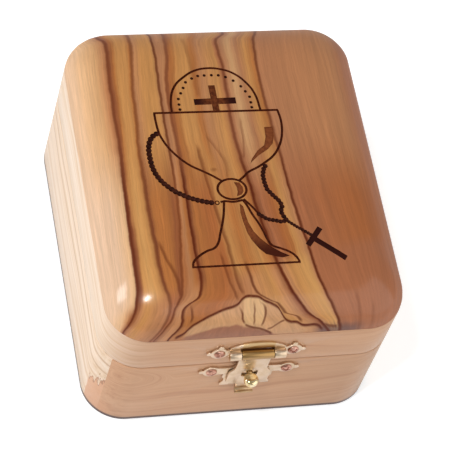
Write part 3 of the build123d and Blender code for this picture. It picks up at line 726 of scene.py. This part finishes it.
# the engraving: a chalice with the host above it and a rosary laid round its knot, on the slab's flat top
engraving = {
    "lineRadius": 0.31, "linkRadius": 0.16, "dotRadius": 0.42, "shadeDepth": 0.16, "shadeTool": 0.6,
    "beadLift": 0.25, "beadTurn": 0.7,
    "beadGap": 1.45, "beadSwell": 1.06,  # shares of the radius
    "lines": [
        [(-15, 14), (-14.8, 17.2), (-13.2, 21.8), (-10, 24.9), (-7, 26.6), (-3.6, 27.2), (0, 26.7), (3, 25.3),
         (5.8, 22.3), (7.4, 18.9), (8, 14)],
        [(-19.8, 14.1), (12.6, 13.7)],
        [(-19.6, 14.1), (-19.6, 11.5), (-19.3, 8), (-18.8, 6.3), (-17.8, 4), (-16.3, 1.7), (-14.7, -0.2), (-12.7, -2),
         (-10.3, -3.5), (-8, -5), (-5.9, -6.6)],
        [(12.4, 13.7), (12.7, 11.3), (12.7, 9.6), (12.4, 7.2), (11.7, 4.7), (10.5, 2.3), (8.7, 0), (6.3, -1.8),
         (4, -3.2), (1.4, -4.5), (0.2, -5.6), (-1.2, -6.7)],
        [(-6.3, -12.9), (-7, -16.3), (-7.8, -19), (-8.8, -21.7), (-9.7, -24.2), (-10.9, -25.7), (-13, -26.5),
         (-15.3, -27.9), (-16.8, -29.4), (-17.2, -30.8)],
        [(-17.4, -30.8), (9.9, -30.9)],
        [(-1.5, -12.4), (-0.7, -14), (0.2, -16.7), (1.2, -19), (2.1, -21.7), (2.7, -24), (3.6, -25.8), (5.6, -26.8),
         (7.5, -27.8), (8.9, -29.1), (9.7, -30.8)],
        [(-1.2, -12.2), (0.6, -14.6), (1.7, -16.4)],
        [(-7.2, -12.8), (-6, -12.6), (-4, -12.9), (-1.4, -12.5)],
    ],
    "knot": {"centre": (-3.6, -9.2), "reach": (3.65, 2.95)},
    "link": {"centre": (-8.05, -12.95), "reach": (0.5, 0.5)},
    "dots": [(-12.8, 14.9), (-12.8, 16.4), (-12.7, 18.1), (-11.8, 19.8), (-10.9, 21.4), (-10, 23.1), (-8.2, 24.2),
             (-6.5, 24.9), (-4.8, 25), (-2.9, 25), (-1.1, 24.9), (0.7, 24.3), (2.5, 23.1), (4.2, 21.3), (5.1, 19.7),
             (5.9, 18), (5.9, 16.3), (5.9, 14.8)],
    "chains": [
        [(-20, 7.9), (-20.9, 7.4), (-21.8, 6.3), (-22.5, 4.7), (-22.8, 2.7), (-22.8, 0.7), (-22.7, -1.3),
         (-22.3, -3.3), (-21.5, -5.2), (-20.5, -6.7), (-19.3, -8), (-18, -9.2), (-16.3, -10.3), (-14.7, -11.2),
         (-12.7, -12), (-10.7, -12.6), (-9.2, -12.9)],
        [(6.1, -2.9), (5.4, -4), (5, -5.7), (5, -7.7), (5.3, -9.7), (6.3, -11.3), (7.6, -13), (8.3, -14.6),
         (7.6, -16.2), (7.9, -17.4), (8.5, -18.7)],
        [(1.9, -16.8), (2.4, -17.2), (3.3, -18), (4.3, -18.5), (5.7, -18.8), (7, -19.2), (8.2, -19.1)],
        [(8.5, -18.9), (10.7, -20.8), (12.5, -22.2), (14.2, -23.6)],
    ],
    "chainRadii": [0.8, 0.7, 0.66, 0.54],
    "tinted": ("knotShade", "stemShade", "swoosh"),
    "fills": {
        "crossUpright": [(-4.35, 21.9), (-2.6, 21.9), (-2.6, 14), (-4.35, 14)],
        "crossBar": [(-8.8, 17.9), (2.1, 18), (2.1, 16.1), (-8.8, 16.1)],
        "pendantLong": [(14.4, -23.2), (15.2, -24.1), (22.1, -29.9), (21.2, -31.1), (14.1, -25.1), (13.3, -24.3)],
        "pendantBar": [(16.1, -21.1), (17.2, -22), (13.2, -26.8), (12.1, -25.9)],
        "swoosh": [(8, 8.7), (10.2, 8.7), (10, 6), (9.3, 3.7), (7.7, 2), (5, 0.3), (2.7, -1.7), (2.4, -2.2),
                   (3, -0.7), (5, 1.8), (7, 3.3), (7.8, 5.7)],
        "knotShade": [(-2.8, -7.2), (-1.4, -7.4), (-0.8, -8.7), (-0.8, -10), (-1.5, -11), (-2.7, -11.3), (-2.3, -10),
                      (-2.3, -8.7)],
        "stemShade": [(-2.4, -13.5), (-1.7, -14.3), (-1.5, -16.7), (-1.2, -19), (-0.3, -21.7), (1, -23.7), (3, -26),
                      (5.3, -27.7), (7.5, -29), (5.7, -29.4), (4.3, -29.1), (1.6, -28.2), (0.1, -26.5), (-1.2, -24.2),
                      (-2, -22), (-2.5, -18.7), (-2.7, -16)],
    },
}


def strokeTool(points, radius, level, closed=False, steps=5):
    curve = bpy.data.curves.new("stroke", "CURVE")
    curve.dimensions = "3D"
    curve.bevel_depth = radius * mm
    curve.bevel_resolution = 1
    curve.use_fill_caps = True
    curve.resolution_u = steps
    spline = curve.splines.new("BEZIER")
    spline.bezier_points.add(len(points) - 1)
    spline.use_cyclic_u = closed
    for knot, (x, y) in zip(spline.bezier_points, points):
        knot.co = (x * mm, y * mm, level * mm)
        knot.handle_left_type = knot.handle_right_type = "AUTO"
    holder = addObject("stroke", curve)
    mesh = evaluatedMesh(holder)
    bpy.data.objects.remove(holder)
    bpy.data.curves.remove(curve)
    bm = bmesh.new()
    bm.from_mesh(mesh)
    bpy.data.meshes.remove(mesh)
    bmesh.ops.remove_doubles(bm, verts=bm.verts, dist=weldGap * mm)
    bmesh.ops.recalc_face_normals(bm, faces=bm.faces)
    return bm


def spreadAlong(points, gap):  # places a fixed gap apart on a line of points
    spots, left = [Vector(points[0])], gap
    for start, end in zip(points, points[1:]):
        start, end = Vector(start), Vector(end)
        run = (end - start).length
        while left <= run:
            spots.append(start.lerp(end, left / run))
            left += gap
        left -= run
    return spots


def ringPoints(ring, count):
    (x, y), (reachX, reachY) = ring["centre"], ring["reach"]
    turns = [2 * pi * k / count for k in range(count)]
    return [(x + reachX * cos(turn), y + reachY * sin(turn)) for turn in turns]


def makeEngravingTools(marks, level):  # each cutter with the place of its finish on the slab
    line, shade, bead, tint = range(1, 5)
    tools = [(strokeTool(points, marks["lineRadius"], level), line) for points in marks["lines"]]
    for key, count, radius, steps in (("knot", 16, marks["lineRadius"], 3), ("link", 8, marks["linkRadius"], 2)):
        tools.append((strokeTool(ringPoints(marks[key], count), radius, level, closed=True, steps=steps), line))

    def addBall(x, y, z, radius, swell=1, turn=0):
        bm = bmesh.new()
        place = Matrix.Translation(Vector((x, y, z)) * mm) @ Matrix.Rotation(turn, 4, "Z")
        bmesh.ops.create_uvsphere(bm, u_segments=10, v_segments=6, radius=radius * mm * swell, matrix=place)
        tools.append((bm, bead))

    for x, y in marks["dots"]:
        addBall(x, y, level, marks["dotRadius"])
    beadLevel = level + marks["beadLift"]
    for points, radius in zip(marks["chains"], marks["chainRadii"]):
        for k, spot in enumerate(spreadAlong(points, radius * marks["beadGap"])):
            addBall(spot.x, spot.y, beadLevel, radius, marks["beadSwell"], marks["beadTurn"] * k)
    for name, points in marks["fills"].items():
        bm = bmesh.new()
        floor = (level - marks["shadeDepth"]) * mm
        face = bm.faces.new([bm.verts.new((x * mm, y * mm, floor)) for x, y in points])
        bmesh.ops.translate(bm, vec=(0, 0, marks["shadeTool"] * mm), verts=extruded(bm, [face])[1])
        bmesh.ops.recalc_face_normals(bm, faces=bm.faces)
        tools.append((bm, tint if name in marks["tinted"] else shade))
    return tools


def carve(mesh, tools, materials):
    piece = addObject("blank", mesh)
    for material in materials:
        mesh.materials.append(material)
    shelf = bpy.data.collections.new("tools")
    scene.collection.children.link(shelf)
    for k, (bm, material) in enumerate(tools):
        for face in bm.faces:
            face.material_index = material
        cutter = bpy.data.objects.new(f"tool{k}", meshOf(bm, f"tool{k}"))
        for finish in materials:
            cutter.data.materials.append(finish)
        shelf.objects.link(cutter)
    cut = piece.modifiers.new("cut", "BOOLEAN")
    cut.operation = "DIFFERENCE"
    cut.operand_type = "COLLECTION"
    cut.collection = shelf
    cut.solver = "EXACT"
    cut.material_mode = "INDEX"
    result = evaluatedMesh(piece)
    for cutter in list(shelf.objects):
        bpy.data.objects.remove(cutter)
    bpy.data.collections.remove(shelf)
    bpy.data.objects.remove(piece)
    return result


slabMesh = meshOf(makeSlab(slabShape), "lidSlab")
topLevel = slabShape["glueLine"] + slabShape["thickness"]
slabMesh = carve(slabMesh, makeEngravingTools(engraving, topLevel), slabFinishes)
finishPiece("lidSlab", slabMesh, "lid", slabFinishes, ["top_slab"])
print("slab carved:", len(slabMesh.polygons), "faces")


# boards and fittings with eased edges: the limits of the easing, then how far each kind is eased
easing = {
    "weld": 0.002, "flatWithin": 0.8, "sharpFrom": 28, "mitreSlant": 0.05, "mitreRise": 0.1, "mitreArea": 40,
    "board": 0.12, "panel": 0.3, "sheet": 0.1, "pin": 0.12,
}


def isMitre(face):  # the cut faces at the corners meet their neighbours and keep sharp edges
    x, y, z = [abs(part) for part in face.normal]
    slanted = abs(x - y) < easing["mitreSlant"] and z < easing["mitreRise"]
    return slanted and face.calc_area() > easing["mitreArea"] * mm * mm


def softenNode(node, body, material, kind):
    bm = bmesh.new()
    bm.from_mesh(nodes[node].data)
    bmesh.ops.remove_doubles(bm, verts=bm.verts, dist=easing["weld"] * mm)
    bmesh.ops.dissolve_limit(bm, angle_limit=radians(easing["flatWithin"]), verts=bm.verts, edges=bm.edges)
    bm.normal_update()
    sharpFrom = radians(easing["sharpFrom"])
    edges = [e for e in bm.edges if len(e.link_faces) == 2 and e.calc_face_angle(0) >= sharpFrom]
    if kind == "board":
        edges = [e for e in edges if not any(isMitre(face) for face in e.link_faces)]
    bmesh.ops.bevel(bm, geom=edges, offset=easing[kind] * mm, offset_type="OFFSET", segments=2, profile=0.5,
                    affect="EDGES", material=-1, clamp_overlap=True)
    finishPiece(node + "Piece", meshOf(bm, node), body, [material], [node])


def softenBrass(node, body, kind):  # kind is sheet or pin
    softenNode(node, body, brass[f"{kind}Brass"], kind)


for side in ("front", "back", "left", "right"):
    wood = boardWood["front" if side in ("front", "back") else "side"]
    softenNode(f"{side}_board", "box", wood, "board")
    softenNode(f"lid_{side}_rail", "lid", boardWood["rail"], "board")
softenNode("bottom_panel", "box", boardWood["panel"], "panel")
for hinge in ("left", "right"):
    softenBrass(f"{hinge}_hinge_body_leaf", "box", "sheet")
    softenBrass(f"{hinge}_hinge_lid_leaf", "lid", "sheet")
    softenBrass(f"{hinge}_hinge_pin", "box", "pin")
softenBrass("latch_top_plate", "lid", "sheet")
softenBrass("hasp_pin", "lid", "pin")
softenBrass("catch_plate", "box", "sheet")
softenBrass("hasp", "hasp", "sheet")
print("boards and fittings eased")


# the knob: a ball drawn in above and below, on a post riveted over behind the plate
knobShape = {
    "place": (0, -48, 24.6), "radius": 1.9, "halfHeight": 1.2, "power": 1.6,
    "post": 0.85, "postStart": 0.8, "rivet": 1.35, "rivetDepth": 0.5, "rivetEase": 0.12, "steps": 24,
}


def makeKnob(shape):
    bm = bmesh.new()
    bmesh.ops.create_uvsphere(bm, u_segments=28, v_segments=20, radius=1)
    place = Vector(shape["place"])
    radius, post, rivet, ease = shape["radius"], shape["post"], shape["rivet"], shape["rivetEase"]
    for vert in bm.verts:
        rise = shape["halfHeight"] * (1 - (1 - min(abs(vert.co.z), 1)) ** shape["power"])
        vert.co = place + Vector((radius * vert.co.x, radius * vert.co.y, rise if vert.co.z > 0 else -rise))
    start = place.y + shape["postStart"]
    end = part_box("turn_knob")[1].y / mm
    seat = end - shape["rivetDepth"]
    outline = [(0, start), (post, start), (post, seat), (rivet, seat), (rivet, end - ease), (rivet - ease, end)]
    corners = [(reach, y, place.z) for reach, y in outline + [(0, end)]]
    turnOutline(bm, corners, (0, 0, place.z), (0, 1, 0), shape["steps"], weldGap)
    bmesh.ops.scale(bm, vec=(mm, mm, mm), verts=bm.verts)
    return bm


finishPiece(
    "turn_knobPiece", meshOf(makeKnob(knobShape), "turn_knob"), "turn_knob",
    [brass["knobBrass"]], ["turn_knob"],
)
print("knob made")


# screws: domed heads with a cross recess
screwShape = {
    "latch": {"radius": 1.4, "height": 0.7, "shank": 0.7, "length": 6, "sheet": 0.6, "front": -44.5},
    "hinge": {"radius": 1.2, "height": 0.55, "shank": 0.6, "length": 5.5, "sheet": 0.7, "front": 44.5},
    "dome": [(0, 1), (0.3, 0.97), (0.6, 0.84), (0.84, 0.6), (0.97, 0.3), (1, 0.08), (0.96, 0)],  # shares of the head
    "tip": 0.5, "recessWidth": 0.34, "recessReach": 0.82, "recessDepth": 0.34, "steps": 28,
}


def makeScrew(shape):  # head up, along +Z, with its seat at zero
    radius, height, shank, length = [shape[key] for key in ("radius", "height", "shank", "length")]
    outline = [(across * radius, up * height) for across, up in screwShape["dome"]]
    outline += [(shank, 0), (shank, screwShape["tip"] - length), (0, -length)]
    bm = bmesh.new()
    turnOutline(bm, [(x * mm, 0, z * mm) for x, z in outline], (0, 0, 0), (0, 0, 1), screwShape["steps"], weldGap * mm)
    reach, width, depth = 2 * radius * screwShape["recessReach"], screwShape["recessWidth"], screwShape["recessDepth"]
    tools = []
    for across, along in ((reach, width), (width, reach)):  # two bars, a millimetre high
        tool = bmesh.new()
        bmesh.ops.create_cube(tool, size=1)
        bmesh.ops.scale(tool, vec=(across * mm, along * mm, mm), verts=tool.verts)
        bmesh.ops.translate(tool, vec=(0, 0, (height - depth + 0.5) * mm), verts=tool.verts)
        tools.append((tool, 0))
    return carve(meshOf(bm, "screw"), tools, [brass["screwBrass"]])


def placeScrews(node, body, kind, turns):
    shape = screwShape[kind]
    low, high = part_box(node)
    level = (low.z + high.z) / 2
    side = -1 if kind == "latch" else 1
    face = (shape["front"] + side * shape["sheet"]) * mm
    tip = Matrix.Rotation(radians(-90 * side), 4, "X")
    screw = makeScrew(shape)
    bm = bmesh.new()
    for x, turn in turns:
        copy = screw.copy()
        copy.transform(Matrix.Translation((x * mm, face, level)) @ tip @ Matrix.Rotation(radians(turn), 4, "Z"))
        bm.from_mesh(copy)
        bpy.data.meshes.remove(copy)
    bpy.data.meshes.remove(screw)
    finishPiece(node + "Piece", meshOf(bm, node), body, [brass["screwBrass"]], [node], 40)


placeScrews("latch_top_screws", "lid", "latch", [(-9.4, 20), (9.4, 55)])
placeScrews("catch_screws", "box", "latch", [(-9.7, 10), (9.7, 70)])
placeScrews("hinge_body_screws", "box", "hinge", [(-24.2, 15), (-15.8, 62), (15.8, 35), (24.2, 80)])
placeScrews("hinge_lid_screws", "lid", "hinge", [(-24.2, 50), (-15.8, 5), (15.8, 75), (24.2, 28)])
print("screws placed")


# floor, light and camera
stageLook = {"floorTone": (245, 245, 245), "lift": 0.46, "mirrored": 0.25, "sky": 0.4}


def makeFloor(look):
    bm = bmesh.new()
    bmesh.ops.create_grid(bm, x_segments=2, y_segments=2, size=3)
    floor = addObject("floor", meshOf(bm, "floor"))
    material, surface = newMaterial(
        "paleFloor", Roughness=0.9, Specular_IOR_Level=0.1, Base_Color=tone(*look["floorTone"]),
        Emission_Color=(1, 1, 1, 1),
    )
    paths = addNode("ShaderNodeLightPath").outputs
    mirrored = calc("MAXIMUM", paths["Is Glossy Ray"], paths["Is Transmission Ray"])
    seen = calc("MAXIMUM", paths["Is Camera Ray"], product(mirrored, look["mirrored"]))
    plug(surface["Emission Strength"], product(seen, look["lift"]))
    floor.data.materials.append(material)


makeFloor(stageLook)

world = bpy.data.worlds.new("studio")
world.use_nodes = True
scene.world = world
background = world.node_tree.nodes["Background"]
background.inputs["Color"].default_value = (1, 1, 1, 1)
background.inputs["Strength"].default_value = stageLook["sky"]

lampLook = {
    # place, aim, width, height, power
    "window": ((-630, 80, 320), (0, 0, 30), 250, 320, 2.3),
    "ceiling": ((-255, -185, 670), (0, 0, 40), 50, 90, 1.3),
    "softbox": ((700, -620, 520), (0, 0, 30), 1300, 1100, 5),
}
for name, (place, aim, width, height, power) in lampLook.items():
    lamp = bpy.data.lights.new(name, "AREA")
    lamp.shape = "RECTANGLE"
    lamp.size, lamp.size_y = width * mm, height * mm
    lamp.energy = power
    turned = (Vector(aim) - Vector(place)).normalized().to_track_quat("-Z", "Y").to_matrix().to_4x4()
    addObject(name, lamp).matrix_world = Matrix.Translation(Vector(place) * mm) @ turned

cameraPlace = {
    "place": (-154.360, -306.241, 536.696), "right": (0.96624, -0.17212, 0.19175), "up": (0.04867, 0.85270, 0.52014),
    "lens": 190.24, "sensor": 36, "near": 0.01, "far": 20,
}
camera = addObject("camera", bpy.data.cameras.new("camera"))
right, up = Vector(cameraPlace["right"]).normalized(), Vector(cameraPlace["up"]).normalized()
toward = right.cross(up).normalized()
turnMatrix = Matrix((right, toward.cross(right), toward)).transposed().to_4x4()
camera.matrix_world = Matrix.Translation(Vector(cameraPlace["place"]) * mm) @ turnMatrix
camera.data.sensor_width = cameraPlace["sensor"]
camera.data.sensor_fit = "HORIZONTAL"
camera.data.lens = cameraPlace["lens"]
camera.data.clip_start, camera.data.clip_end = cameraPlace["near"], cameraPlace["far"]
scene.camera = camera
scene.view_settings.view_transform = "Standard"
print("stage set")
